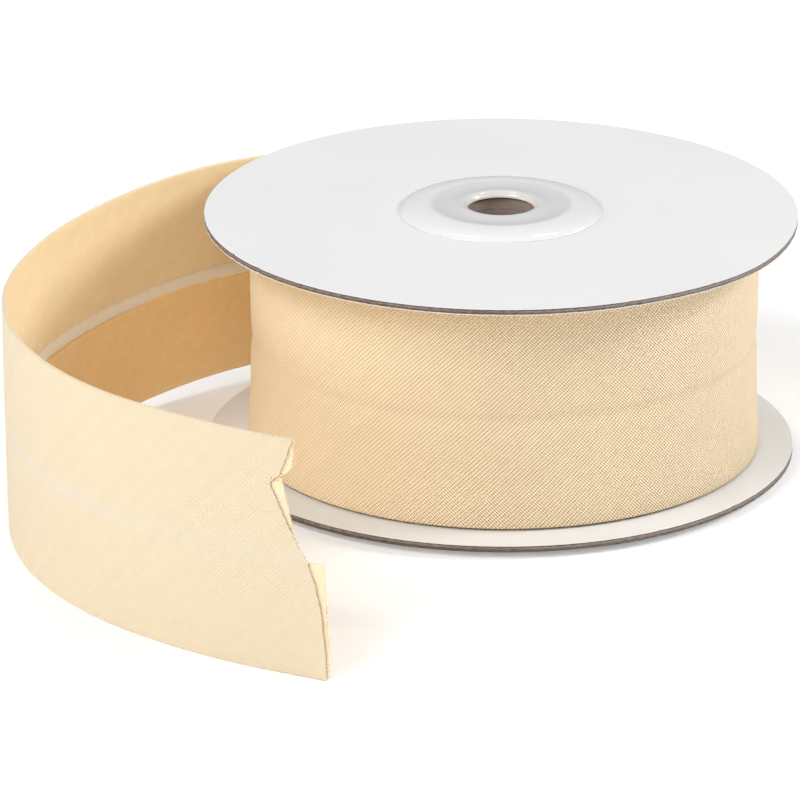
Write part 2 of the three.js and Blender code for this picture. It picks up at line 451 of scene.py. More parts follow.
SETTINGS = {
    "spool_board": BoardSettings,
    "spool_hub": HubSettings,
    "spool_tube": TubeSettings,
    "spool_tape": TapeSettings,
    "spool_stage": StageSettings,
}


class Finish:
    """A material and the nodes that feed its shader."""

    def __init__(self, name, **sockets):
        self.material = bpy.data.materials.new(name)
        self.material.use_nodes = True
        self.nodes = self.material.node_tree.nodes
        self.links = self.material.node_tree.links
        self.shader = self.nodes["Principled BSDF"]
        for socket, value in sockets.items():
            self.shader.inputs[socket.replace("_", " ")].default_value = value

    def add(self, kind, *inputs, **settings):
        """A new node with its first inputs fed in order."""
        node = self.nodes.new(kind)
        for name, value in settings.items():
            setattr(node, name, value)
        for socket, value in zip(node.inputs, inputs):
            self.feed(socket, value)
        return node

    def feed(self, socket, value):
        """Links another node's output, or sets a plain value."""
        if isinstance(value, bpy.types.NodeSocket):
            self.links.new(value, socket)
        elif hasattr(socket.default_value, "__len__"):
            whole = tuple(value) + (1.0,)
            socket.default_value = whole[: len(socket.default_value)]
        else:
            socket.default_value = value

    def math(self, operation, *values):
        """One step of arithmetic."""
        return self.add("ShaderNodeMath", *values, operation=operation).outputs["Value"]

    def times(self, first, second):
        """Two numbers multiplied."""
        return self.math("MULTIPLY", first, second)

    def rest(self, share):
        """What a share leaves of 1."""
        return self.math("SUBTRACT", 1.0, share)

    def rise(self, value, low, high, start=0.0, end=1.0):
        """A smooth rise from start to end while value goes from low to high."""
        node = self.add("ShaderNodeMapRange", value, low, high, start, end)
        node.interpolation_type = "SMOOTHSTEP"
        return node.outputs["Result"]

    def window(self, value, low, high, soft):
        """1 between low and high, falling softly to 0 outside."""
        up = self.rise(value, low - soft, low + soft)
        down = self.rise(value, high - soft, high + soft)
        return self.math("SUBTRACT", up, down)

    def mix(self, share, first, second, blend="MIX"):
        """Two colours mixed."""
        node = self.add("ShaderNodeMix", data_type="RGBA", blend_type=blend)
        self.feed(node.inputs[0], share)
        self.feed(node.inputs[6], first)
        self.feed(node.inputs[7], second)
        return node.outputs[2]

    def speckle(self, place, scale, detail=2.0, stretch=(1.0, 1.0, 1.0)):
        """Fine-grained noise from 0 to 1, stretched along an axis where a scale is small."""
        spread = self.add("ShaderNodeVectorMath", place, stretch, operation="MULTIPLY")
        node = self.add("ShaderNodeTexNoise")
        self.feed(node.inputs["Vector"], spread.outputs["Vector"])
        self.feed(node.inputs["Scale"], scale)
        self.feed(node.inputs["Detail"], detail)
        return node.outputs["Fac"]

    def object_place(self):
        """Object coordinates."""
        return self.add("ShaderNodeTexCoord").outputs["Object"]

    def mapped_place(self, layer):
        """The piece's own UV map, in metres, with its two parts in millimetres."""
        place = self.add("ShaderNodeUVMap", uv_map=layer).outputs["UV"]
        parts = self.add("ShaderNodeSeparateXYZ", place).outputs
        return place, self.math("DIVIDE", parts["X"], MM), self.math("DIVIDE", parts["Y"], MM)

    def axis_distance(self):
        """Distance from the spool's axis, in millimetres."""
        centred = self.add(
            "ShaderNodeVectorMath", self.object_place(), tuple(spool_axis), operation="SUBTRACT"
        )
        flat = self.add(
            "ShaderNodeVectorMath", centred.outputs["Vector"], (1, 1, 0), operation="MULTIPLY"
        )
        node = self.add("ShaderNodeVectorMath", flat.outputs["Vector"], operation="LENGTH")
        return self.math("DIVIDE", node.outputs["Value"], MM)

    def colour(self, value):
        """Feeds the shader's colour."""
        self.feed(self.shader.inputs["Base Color"], value)

    def glow(self, brightness):
        """Makes the surface shine white by itself."""
        self.feed(self.shader.inputs["Emission Color"], (1, 1, 1))
        self.feed(self.shader.inputs["Emission Strength"], brightness)

    def bump(self, height, relief, strength=1.0):
        """Raises the surface by a height from 0 to 1 times the relief in millimetres."""
        node = self.add("ShaderNodeBump")
        self.feed(node.inputs["Strength"], strength)
        self.feed(node.inputs["Distance"], relief * MM)
        self.feed(node.inputs["Height"], height)
        self.links.new(node.outputs["Normal"], self.shader.inputs["Normal"])


def board_face_finish(settings):
    """White coated face paper with faint dull patches and fibres."""
    finish = Finish("board_face", Roughness=0.55)
    place = finish.object_place()
    patches = finish.rise(finish.speckle(place, 38, 3.0), 0.4, 0.75)
    finish.colour(finish.mix(patches, settings.face, settings.face_worn))
    fibres = finish.speckle(place, 2600, 2.0, (1.0, 0.35, 1.0))
    finish.bump(fibres, 0.012)
    return finish.material


def board_edge_finish(settings, lining_is_lit):
    """Cut edge: streaky brown-grey plies, over a thin pale lining on the upper disc; on the lower disc
    the plies' dark colours cover the lining as painted shade.
    """
    finish = Finish("board_edge", Roughness=0.85)
    place, _, height = finish.mapped_place("board")
    long_streaks = finish.speckle(place, PER_MM, 3.0, (0.09, 7.0, 1.0))
    short_streaks = finish.rise(finish.speckle(place, PER_MM, 3.0, (0.9, 8.0, 1.0)), 0.38, 0.62)
    paler_run = finish.speckle(place, PER_MM, 1.0, (0.018, 0.0, 1.0))
    pale_plies = finish.window(height, *PALE_PLIES, 0.08)
    sideways = finish.add("ShaderNodeSeparateXYZ", finish.object_place()).outputs["X"]
    # Painted light: the edge grows paler towards the right, where more light falls on it
    painted_side_light = finish.rise(sideways, *(spool_axis.x + side * MM for side in PAINTED_LIGHT_SIDE))
    streaks = finish.times(long_streaks, 0.5)
    for pattern, share in (
        (short_streaks, 0.35),
        (paler_run, 0.3),
        (pale_plies, 0.32),
        (painted_side_light, 0.22),
    ):
        streaks = finish.math("MULTIPLY_ADD", pattern, share, streaks)
    core = finish.mix(finish.rise(streaks, 0.5, 1.2), settings.core_dark, settings.core_pale)
    under_face = finish.rise(height, *DARK_PLY, 0.0, 0.75)
    core = finish.mix(under_face, core, settings.core_dark)
    # The lower disc's lining is left in the plies' dark colours: painted shade where its lining lies
    # in shadow
    if lining_is_lit:
        frayed = finish.speckle(place, PER_MM, 2.0, (1.1, 1.1, 1.0))
        border = finish.math("MULTIPLY_ADD", frayed, 0.12, settings.lining_height / MM - 0.06)
        in_core = finish.rise(finish.math("SUBTRACT", height, border), -0.03, 0.04)
        core = finish.mix(in_core, settings.lining, core)
    finish.colour(core)
    finish.bump(streaks, 0.06)
    return finish.material


def hub_finish(settings):
    """Glossy white plastic, with painted shade where it is hollow underneath and a cream tint of
    painted bounce light at its throat.
    """
    finish = Finish("hub_plastic", Roughness=0.06, Specular_IOR_Level=0.5)
    distance = finish.axis_distance()
    edge = settings.thin_radius / MM
    # Painted shade: greyer over the dark hollow under the cap
    thin = finish.rise(distance, edge + THIN_FADE, edge - THIN_FADE)
    body = finish.mix(thin, settings.plastic, settings.plastic_hollow_shade)
    # Painted bounce light: a cream tint at the throat
    throat = finish.rise(distance, *THROAT_BOUNCE_TINT)
    body = finish.mix(throat, body, settings.lip_bounce_tint)
    cloud = finish.speckle(finish.object_place(), 160, 2.0)
    tone = finish.rise(cloud, 0.3, 0.7, 0.985, 1.0)
    finish.colour(finish.mix(1.0, body, tone, "MULTIPLY"))
    finish.bump(cloud, 0.003)
    return finish.material


def tube_finish(settings):
    """Wound brown paper: fibres along the winding and a narrow climbing seam."""
    finish = Finish("tube_paper", Roughness=0.8)
    place, around, up = finish.mapped_place("paper")
    fibres = finish.speckle(place, PER_MM, 3.0, (0.35, 2.4, 1.0))
    climb = finish.math("DIVIDE", up, settings.seam_lead / MM)
    phase = finish.math("FRACT", finish.math("SUBTRACT", around, climb))
    seam = finish.window(phase, *SEAM, 0.008)
    dark = finish.math("MAXIMUM", finish.rise(fibres, 0.35, 0.75), finish.times(seam, 0.35))
    finish.colour(finish.mix(dark, settings.paper, settings.paper_dark))
    finish.bump(finish.math("SUBTRACT", fibres, seam), 0.05)
    return finish.material


class ClothFinish(Finish):
    """Cream cotton in a plain weave that crosses the tape at 45 degrees."""

    def __init__(self, settings, name):
        super().__init__(
            name,
            Roughness=0.88,
            Specular_IOR_Level=0.25,
            Sheen_Weight=0.12,
            Sheen_Roughness=0.5,
        )
        self.settings = settings
        self.folds = fold_places(settings)
        self.place, self.along, self.across = self.mapped_place("cloth")
        self.height, self.tone = self.weave()
        # The weave's height mixes each grain colour with its darker pit colour, the painted shade
        # between the threads
        self.grain = self.rise(self.height, 0.12, 0.95)

    def weave(self):
        """Height of the weave, ribs over finer beads, and the slight difference of its threads."""
        drift = self.times(self.speckle(self.place, 210), 0.3)
        drift = self.math("MULTIPLY_ADD", self.speckle(self.place, 1300, 1.0), 0.09, drift)
        rib_step = self.settings.rib_pitch / MM * math.sqrt(2)
        bead_step = self.settings.bead_pitch / MM * math.sqrt(2)
        falling = self.math("DIVIDE", self.math("SUBTRACT", self.along, self.across), rib_step)
        rising = self.math("DIVIDE", self.math("ADD", self.along, self.across), bead_step)
        falling = self.math("ADD", falling, drift)
        rising = self.math("ADD", rising, drift)
        rib = self.math("ABSOLUTE", self.math("SINE", self.times(falling, math.pi)))
        bead = self.math("ABSOLUTE", self.math("SINE", self.times(rising, math.pi)))
        # The ribs rise higher at the roll's front: a stronger relief, and in the colour a stronger
        # painted shade in the pits where light grazes the roll
        front = self.window(self.along, *GRAZED_ROLL_FRONT, GRAZED_ROLL_FRONT_FADE)
        rib_share = self.math("MULTIPLY_ADD", front, 0.26, 0.14)
        height = self.math("MULTIPLY_ADD", rib, rib_share, self.times(bead, 0.52))
        height = self.math("MULTIPLY_ADD", self.times(rib, bead), 0.2, height)
        smoother = self.math("SUBTRACT", 0.4, rib_share)
        height = self.math("MULTIPLY_ADD", smoother, 0.8, height)
        thread = self.add("ShaderNodeTexWhiteNoise", noise_dimensions="1D")
        self.feed(thread.inputs["W"], self.math("FLOOR", falling))
        slub = self.times(thread.outputs["Value"], 0.025)
        cloud = self.times(self.speckle(self.place, 450, 3.0), 0.07)
        return height, self.math("SUBTRACT", 1.047, self.math("ADD", slub, cloud))

    def lint(self):
        """Sparse irregular specks of lint, 1 where they lie."""
        smudge = self.add("ShaderNodeTexNoise")
        self.feed(smudge.inputs["Vector"], self.place)
        self.feed(smudge.inputs["Scale"], 1500)
        shifted = self.add(
            "ShaderNodeVectorMath",
            smudge.outputs["Color"],
            (LINT_SMUDGE * MM,) * 3,
            self.place,
            operation="MULTIPLY_ADD",
        )
        cells = self.add("ShaderNodeTexVoronoi")
        self.feed(cells.inputs["Vector"], shifted.outputs["Vector"])
        self.feed(cells.inputs["Scale"], 470)
        near = self.rise(cells.outputs["Distance"], 0.19, 0.07)
        chosen = self.add("ShaderNodeSeparateColor", cells.outputs["Color"]).outputs[0]
        return self.times(near, self.rise(chosen, 0.45, 0.95))

    def back_colour(self):
        """The cloth's back, lightened as painted light through the cloth, with pale slanted ribs of
        painted light through the single layer where the flaps leave a gap.
        """
        waver = self.times(self.speckle(self.place, 500, 1.0), 0.4)
        slanted = self.math("MULTIPLY_ADD", self.across, 0.35, self.math("ADD", self.along, waver))
        ribs = self.math("SINE", self.times(slanted, TURN / BACK_RIB_PITCH))
        faded = self.rise(self.speckle(self.place, 240), 0.35, 0.65, 0.8, 0.5)
        rib_share = self.rise(ribs, -0.9, 0.5, faded, 1.0)
        gap_low = self.folds["gap_low"] - 0.6
        gap_high = self.folds["gap_high"] + 0.6
        in_gap = self.window(self.across, gap_low, gap_high, 0.2)
        # Painted light: the back's colours are lighter, standing for light through the face's cloth
        back = self.mix(self.grain, self.settings.back_through_light_pit, self.settings.back_through_light_grain)
        # Painted light through the single layer: pale ribs in the gap
        return self.mix(self.times(in_gap, rib_share), back, self.settings.haze_and_through_light)

    def flap_colour(self, flap):
        """The flaps behind the face, in deeper colours of painted shade and light through the cloth
        inside the loop, the lower one deeper still, both with a pale haze.
        """
        # Painted shade: the lower flap deeper still
        lower_flap_shade = self.mix(self.grain, self.settings.lower_flap_shade_pit, self.settings.lower_flap_shade_grain)
        lower = self.folds["lower"]
        is_lower = self.rise(self.across, lower - 1, lower + 3, 1.0, 0.0)
        haze = self.rise(self.speckle(self.place, 500, 4.0), 0.45, 0.8, 0.0, 0.22)
        return self.mix(haze, self.mix(is_lower, flap, lower_flap_shade), self.settings.haze_and_through_light)

    def face_colour(self, flap, on_tail):
        """The tape's face: crisp on the roll, with painted warm shade under the disc and painted paler
        light on the loose end.
        """
        roll = self.mix(self.grain, self.settings.pit, self.settings.grain)
        # Painted light: the loose end's paler, less saturated colours stand for its stronger light and
        # the light through its cloth
        tail = self.mix(self.grain, self.settings.tail_pit, self.settings.tail_grain)
        head = self.folds["head"]
        # Painted shade: a warmer, deeper band under the upper disc
        painted_disc_shade = self.rise(self.across, head - DISC_SHADE_BAND, head, 0.0, 0.6)
        painted_disc_shade = self.times(painted_disc_shade, self.rest(on_tail))
        return self.mix(painted_disc_shade, self.mix(on_tail, roll, tail), flap)

    def gap_line(self, body, on_tail, on_roll):
        """Marks the gap on the face: a pale line of painted light through the single layer on the
        loose end, and painted shade in a faint valley on the roll.
        """
        gap_low = self.folds["gap_low"]
        # Painted light: a cooler, paler line where light passes through the single layer over the gap
        line = self.window(self.across, gap_low + 0.2, self.folds["gap_high"] + 0.3, 0.6)
        line = self.times(line, self.times(on_tail, 0.7))
        line = self.times(line, self.rise(self.along, *THROUGH_LIGHT_LINE_FADES, 1.0, 0.45))
        body = self.mix(line, body, self.settings.through_light_line)
        # Painted shade: the roll's faint valley over the gap
        valley = self.window(self.across, gap_low + 0.8, gap_low + 2.1, 0.4)
        valley = self.times(valley, self.rise(self.along, *VALLEY_SHADE_DEEPENS, 0.0, 0.09))
        return self.mix(self.times(valley, on_roll), body, self.settings.pit)

    def finished(self, body, relief_share):
        """The material, with its colour and relief."""
        self.colour(self.mix(1.0, body, self.tone, "MULTIPLY"))
        fuzz = self.speckle(self.place, 9000)
        self.bump(self.math("MULTIPLY_ADD", fuzz, 0.12, self.height), 0.15, relief_share)
        return self.material


def cloth_face_finish(settings):
    """The cloth's outer side: the tape's face and the flaps that are folded behind it."""
    finish = ClothFinish(settings, "tape_cloth")
    folds = finish.folds
    on_tail = finish.rise(finish.along, TAIL_BEGINS, TAIL_IS_FREE_AT)
    on_face = finish.window(finish.across, folds["lower"] + 0.2, folds["upper"] - 0.2, 0.3)
    on_roll = finish.times(on_face, finish.rest(on_tail))
    # Painted shade: the flaps' deeper colours inside the loop
    flap = finish.mix(finish.grain, settings.flap_shade_pit, settings.flap_shade_grain)
    body = finish.face_colour(flap, on_tail)
    body = finish.mix(on_face, finish.flap_colour(flap), body)
    specks = finish.times(finish.lint(), finish.rest(on_face))
    body = finish.mix(finish.times(specks, 0.62), body, settings.lint)
    body = finish.gap_line(body, on_tail, on_roll)
    return finish.finished(body, finish.math("MULTIPLY_ADD", on_roll, 0.75, 0.25))


def cloth_back_finish(settings):
    """The cloth's inner side."""
    finish = ClothFinish(settings, "tape_cloth_back")
    return finish.finished(finish.back_colour(), 0.3)


def turns_finish(settings):
    """Edges of the wound turns: a pale fold line of painted light and a darker gap of painted shade
    for each turn.
    """
    finish = Finish("tape_turns", Roughness=0.9, Specular_IOR_Level=0.25)
    distance = finish.axis_distance()
    phase = finish.math("SINE", finish.times(distance, TURN / TURN_THICKNESS))
    # Painted light and shade: paler on each turn's fold, darker in the gap between turns
    share = finish.rise(phase, -0.9, 0.5)
    cloud = finish.speckle(finish.object_place(), 900, 2.0)
    body = finish.mix(share, settings.flap_shade_pit, settings.grain)
    finish.colour(finish.mix(finish.rise(cloud, 0.4, 0.8, 0.0, 0.3), body, settings.flap_shade_grain))
    finish.bump(cloud, 0.05)
    return finish.material


def fold_places(settings):
    """The folds' size, and their places and the gap's across the flat cloth from its lower edge."""
    half = settings.half_fold / MM
    inset = half + settings.cloth / MM / 2
    bend = math.pi * half
    lower = LOWER_FLAP - inset
    face = TAPE_WIDTH - 2 * inset
    face_start = lower + bend - inset
    return {
        "half": half,
        "inset": inset,
        "bend": bend,
        "lower": lower,
        "foot": lower + bend,
        "face_start": face_start,
        "gap_low": face_start + LOWER_FLAP,
        "gap_high": face_start + TAPE_WIDTH - UPPER_FLAP,
        "head": lower + bend + face,
        "upper": lower + 2 * bend + face,
        "whole": lower + 2 * bend + face + UPPER_FLAP - inset,
        "slack": 4 * half - 2 * inset - 0.03,
    }


def section_place(across, folds):
    """Height, outward depth, cut outline and distance from its fold of a place on the cloth."""
    half = folds["half"]
    inset = folds["inset"]
    from_raw_edge = min(across, folds["whole"] - across)
    flap_depth = folds["slack"] * (1 - smooth_step(0, PRESSED_EDGE, from_raw_edge)) - half
    if across <= folds["lower"]:
        up = LOWER_FLAP - across
        return up, flap_depth, FLAP_CUT, up
    if across < folds["foot"]:
        angle = math.pi * (across - folds["lower"]) / folds["bend"]
        return inset - half * math.sin(angle), -half * math.cos(angle), FACE_CUT, 0
    if across <= folds["head"]:
        return inset + across - folds["foot"], half, FACE_CUT, 0
    if across < folds["upper"]:
        angle = math.pi * (across - folds["head"]) / folds["bend"]
        up = TAPE_WIDTH - inset + half * math.sin(angle)
        return up, half * math.cos(angle), FACE_CUT, 0
    up = TAPE_WIDTH - inset - (across - folds["upper"])
    return up, flap_depth, FLAP_CUT, TAPE_WIDTH - up


def outline_radius(turn):
    """Radius of the wound roll's outline after that many degrees from the join."""
    if turn < 0:
        return curve_at(ROLL_OUTLINE, "turn", "radius", turn + 360) - TURN_THICKNESS
    return curve_at(ROLL_OUTLINE, "turn", "radius", turn)


def tape_place(along, inset):
    """Where the folded tape's middle runs in plan, and its heading there."""
    end_radius = outline_radius(360) - inset
    if along <= 0:
        turn = 360 + math.degrees(along / end_radius)
        angle = JOIN_ANGLE + math.radians(turn)
        radius = outline_radius(turn) - inset
        return radius * math.cos(angle), radius * math.sin(angle), angle + math.pi / 2
    x = TAIL_START_RADIUS * math.cos(JOIN_ANGLE)
    y = TAIL_START_RADIUS * math.sin(JOIN_ANGLE)
    heading = JOIN_ANGLE + math.pi / 2
    left = along
    for bend in TAIL_BENDS:
        run = min(left, bend["length"])
        turn = math.radians(bend["turn"]) * run / bend["length"]
        chord = run * math.sin(turn / 2) / (turn / 2) if turn else run
        x += chord * math.cos(heading + turn / 2)
        y += chord * math.sin(heading + turn / 2)
        heading += turn
        left -= run
    x += left * math.cos(heading)
    y += left * math.sin(heading)
    drawn_in = (TAIL_START_RADIUS - end_radius) * (1 - smooth_step(0, LEAVES_ROLL_BY, along))
    return x - drawn_in * math.sin(heading), y + drawn_in * math.cos(heading), heading


# How far the loose end's foot is outside its top, by the distance from the roll
FOOT_OUT = [{"along": 0, "foot_out": 0}]
for bend in TAIL_BENDS:
    bend_end = FOOT_OUT[-1]["along"] + bend["length"]
    FOOT_OUT.append({"along": bend_end, "foot_out": bend["foot_out"]})


def cloth_ripple(kind, along, up):
    """One of the cloth's uneven swells, from -1 to 1."""
    return ripple(along / kind["along"], up / kind["up"], kind["seed"])


def fold_point(along, across, settings, folds):
    """Folds a place on the flat cloth behind the face and sets it on the roll or the tail."""
    up, depth, _, from_fold = section_place(across, folds)
    x, y, heading = tape_place(along, folds["half"] + settings.cloth / MM / 2)
    on_roll = 1 - smooth_step(0, ROLL_SWELL_ENDS, along)
    on_tail = smooth_step(0, TAIL_IS_FREE_AT, along)
    out = depth + curve_at(ROLL_SIDE, "up", "swell", up) * on_roll
    out += curve_at(FOOT_OUT, "along", "foot_out", along) * (0.5 - up / TAPE_WIDTH)
    out += ROLL_RIPPLE["depth"] * on_roll * cloth_ripple(ROLL_RIPPLE, along, up)
    out += TAIL_RIPPLE["depth"] * on_tail * cloth_ripple(TAIL_RIPPLE, along, up)
    pressed = smooth_step(FLAPS_CLOSE_FROM, FLAPS_CLOSE_BY, along)
    pressed *= smooth_step(0, FOLD_STAYS_ROUND, from_fold)
    out += FLAPS_CLOSED_SHARE * pressed * (folds["slack"] - folds["half"] - depth)
    settled = smooth_step(CLEARS_DISC_AT, TOUCHES_FLOOR_AT, along)
    height = up + TAPE_FOOT * (1 - settled)
    return Vector((x + out * math.sin(heading), y - out * math.cos(heading), height))


def flat_place(along, across, folds):
    """Cuts the flat cloth's end to its outline and wavers its raw edges."""
    up, _, cut, _ = section_place(across, folds)
    share = min(max((along - CUT_BEGINS) / (TAIL_LENGTH - CUT_BEGINS), 0), 1)
    end = value_at(cut, "up", "end", up)
    cut_along = along + share * (end - TAIL_LENGTH)
    jag = ripple(across * CUT_JAGS["across"], up * CUT_JAGS["up"], CUT_JAGS["seed"])
    cut_along += CUT_JAGS["depth"] * share**CUT_JAGS_FADE * jag
    growth = FLAP_GROWTH * (1 - smooth_step(0, FLAP_GROWS_WITHIN, across))
    across -= growth * smooth_step(FLAP_GROWS_FROM, FLAP_GROWN_AT, along)
    whole = folds["whole"]
    near_lower = 1 - smooth_step(0, FRAYED_WITHIN, across)
    near_upper = smooth_step(whole - FRAYED_WITHIN, whole, across)
    waver = sum(wave["depth"] * ripple(along / wave["along"], wave["seed"]) for wave in FRAYED_WAVES)
    return cut_along, across + (near_lower + near_upper) * waver


def spaced(runs, index):
    """The place of an evenly counted line in a list of runs, each with its end and count."""
    start = runs[0]["end"]
    for run in runs[1:]:
        if index <= run["cells"]:
            return start + (run["end"] - start) * index / run["cells"]
        index -= run["cells"]
        start = run["end"]
    return runs[-1]["end"]


def spun(profile, segments):
    """A bmesh of a closed outline spun once round the Z axis."""
    bm = bmesh.new()
    corners = [bm.verts.new((row["radius"], 0, row["height"])) for row in profile]
    edges = [bm.edges.new(pair) for pair in zip(corners, corners[1:] + corners[:1])]
    bmesh.ops.spin(
        bm,
        geom=corners + edges,
        axis=(0, 0, 1),
        cent=(0, 0, 0),
        angle=TURN,
        steps=segments,
        use_merge=True,
        use_duplicate=False,
    )
    bmesh.ops.recalc_face_normals(bm, faces=bm.faces)
    return bm


def map_round(bm, layer, is_wrapped, around_unit):
    """Maps wrapped faces by the way round and their height, and the others from above."""
    uv = bm.loops.layers.uv.new(layer)
    for face in bm.faces:
        centre = face.calc_center_median()
        middle = math.atan2(centre.y, centre.x)
        wrapped = is_wrapped(face)
        for loop in face.loops:
            co = loop.vert.co
            if wrapped:
                angle = math.atan2(co.y, co.x)
                angle += TURN * round((middle - angle) / TURN)
                loop[uv].uv = (angle * around_unit * MM, co.z * MM)
            else:
                loop[uv].uv = (co.x * MM, co.y * MM)


def new_object(bm, name, materials):
    """Puts a bmesh into the scene under a name."""
    mesh = bpy.data.meshes.new(name)
    bm.to_mesh(mesh)
    bm.free()
    for material in materials:
        mesh.materials.append(material)
    thing = bpy.data.objects.new(name, mesh)
    bpy.context.scene.collection.objects.link(thing)
    return thing


def smooth_faces(mesh, sharp):
    """Smooths a mesh except at edges sharper than that many degrees."""
    mesh.shade_smooth()
    mesh.set_sharp_from_angle(angle=math.radians(sharp))


def make_piece(bm, name, materials, sharp):
    """Turns a bmesh in millimetres about the axis into a finished piece in the frame."""
    place = Matrix.Translation((spool_axis.x, spool_axis.y, 0)) @ Matrix.Scale(MM, 4)
    bm.transform(place)
    piece = new_object(bm, name, materials)
    smooth_faces(piece.data, sharp)
    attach(piece, BODY)
    return piece


def apply_modifiers(piece, sharp):
    """Keeps the modifiers' result as the piece's mesh."""
    depsgraph = bpy.context.evaluated_depsgraph_get()
    finished = bpy.data.meshes.new_from_object(piece.evaluated_get(depsgraph))
    plain = piece.data
    piece.modifiers.clear()
    piece.data = finished
    finished.name = piece.name
    bpy.data.meshes.remove(plain)
    smooth_faces(finished, sharp)


def disc_profile():
    """Outline of a disc's wall: bored edge, underside, layered outer edge and face."""
    bore = COLLAR_BORE
    rows = [{"radius": bore, "height": row["up"]} for row in (PLIES[-2], PLIES[1])]
    rings = (bore + 0.1, *BOARD_RINGS, disc_radius - 0.25)
    rows += [{"radius": radius, "height": 0} for radius in rings]
    rows += [{"radius": disc_radius - row["inset"], "height": row["up"]} for row in PLIES]
    rows += [{"radius": radius, "height": disc_thickness} for radius in reversed(rings)]
    return rows


def make_disc(name, bottom, sags, settings, seed):
    """One cardboard disc with a ragged layered edge, a gentle warp and a few nicks."""
    bm = spun(disc_profile(), settings.segments)
    rim_start = disc_radius - RIM_BAND
    map_round(
        bm,
        "board",
        lambda face: abs(face.normal.z) < 0.75 or face.calc_center_median().xy.length > rim_start,
        disc_radius,
    )
    for face in bm.faces:
        centre = face.calc_center_median()
        in_edge = centre.xy.length > rim_start and centre.z < disc_thickness - CLOSE
        face.material_index = 1 if in_edge or centre.xy.length < COLLAR_BORE + CLOSE else 0
    warp = settings.warp / MM
    sag = settings.sag / MM if sags else 0
    for vert in bm.verts:
        radius = vert.co.xy.length
        angle = math.atan2(vert.co.y, vert.co.x)
        lever = (radius / disc_radius) ** 3
        round_x = math.cos(angle)
        round_y = math.sin(angle)
        height = vert.co.z + warp * lever * ripple(round_x * DISC_WAVES, round_y * DISC_WAVES, seed)
        away = math.degrees(math.remainder(angle - math.radians(SAG_ANGLE), TURN))
        height -= sag * lever * math.exp(-((away / SAG_SPREAD) ** 2))
        if radius > rim_start:
            ragged = ripple(round_x * RIM_RAGS, round_y * RIM_RAGS, vert.co.z * PLY_RAGS + seed)
            radius += settings.tear / MM * ragged
            for nick in NICKS:
                off = math.remainder(angle - math.radians(nick["angle"] + seed), TURN) * radius
                in_nick = math.exp(-((off / nick["width"] * 2) ** 2))
                radius -= nick["depth"] * in_nick * (0.4 + 0.6 * abs(ripple(off * 3, vert.co.z * 4)))
        scale = radius / vert.co.xy.length
        vert.co = Vector((vert.co.x * scale, vert.co.y * scale, height + bottom))
    materials = [board_face_finish(settings), board_edge_finish(settings, sags)]
    return make_piece(bm, name, materials, sharp=50)


def make_cap(name, bottom, is_upper, settings, material):
    """One hub cap, seated on its disc and turned over on the lower one."""
    bm = spun(CAP_PROFILE, settings.segments)
    if not is_upper:
        bmesh.ops.rotate(bm, verts=bm.verts, cent=(0, 0, 0), matrix=Matrix.Rotation(math.pi, 3, "X"))
    bmesh.ops.translate(bm, verts=bm.verts, vec=(0, 0, bottom))
    return make_piece(bm, name, [material], sharp=60)


class SPOOL_OT_boards(bpy.types.Operator):
    """Makes the two cardboard discs"""

    bl_idname = "spool.boards"
    bl_label = "Cardboard discs"

    def execute(self, context):
        settings = context.scene.spool_board
        for name, node, sags, seed in (
            ("disc_upper", "flange_top", True, 2.0),
            ("disc_lower", "flange_bottom", False, 9.0),
        ):
            disc = make_disc(name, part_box(node)[0].z / MM, sags, settings, seed)
            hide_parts(node)
        return {"FINISHED"}


class SPOOL_OT_hub_caps(bpy.types.Operator):
    """Makes the two moulded hub caps"""

    bl_idname = "spool.hub_caps"
    bl_label = "Hub caps"

    def execute(self, context):
        settings = context.scene.spool_hub
        material = hub_finish(settings)
        lower_disc_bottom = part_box("flange_bottom")[0].z / MM
        for name, node, bottom, is_upper in (
            ("cap_upper", "hub_cap_top", upper_disc_top, True),
            ("cap_lower", "hub_cap_bottom", lower_disc_bottom, False),
        ):
            cap = make_cap(name, bottom, is_upper, settings, material)
            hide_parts(node)
        return {"FINISHED"}


class SPOOL_OT_core_tube(bpy.types.Operator):
    """Makes the wound paper tube"""

    bl_idname = "spool.core_tube"
    bl_label = "Paper tube"

    def execute(self, context):
        settings = context.scene.spool_tube
        soft = TUBE_SOFTNESS
        rows = table(
            ("radius", "height"),
            (TUBE_BORE, upper_disc_top - soft),
            (TUBE_BORE, TUBE_FOOT + soft),
            (TUBE_BORE + soft, TUBE_FOOT),
            (TUBE_OUTSIDE - soft, TUBE_FOOT),
            (TUBE_OUTSIDE, TUBE_FOOT + soft),
            (TUBE_OUTSIDE, upper_disc_top - soft),
            (TUBE_OUTSIDE - soft, upper_disc_top),
            (TUBE_BORE + soft, upper_disc_top),
        )
        bm = spun(rows, settings.segments)
        map_round(bm, "paper", lambda face: abs(face.normal.z) < 0.9, 1 / TURN)
        tube = make_piece(bm, "paper_tube", [tube_finish(settings)], sharp=60)
        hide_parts("core_tube")
        return {"FINISHED"}


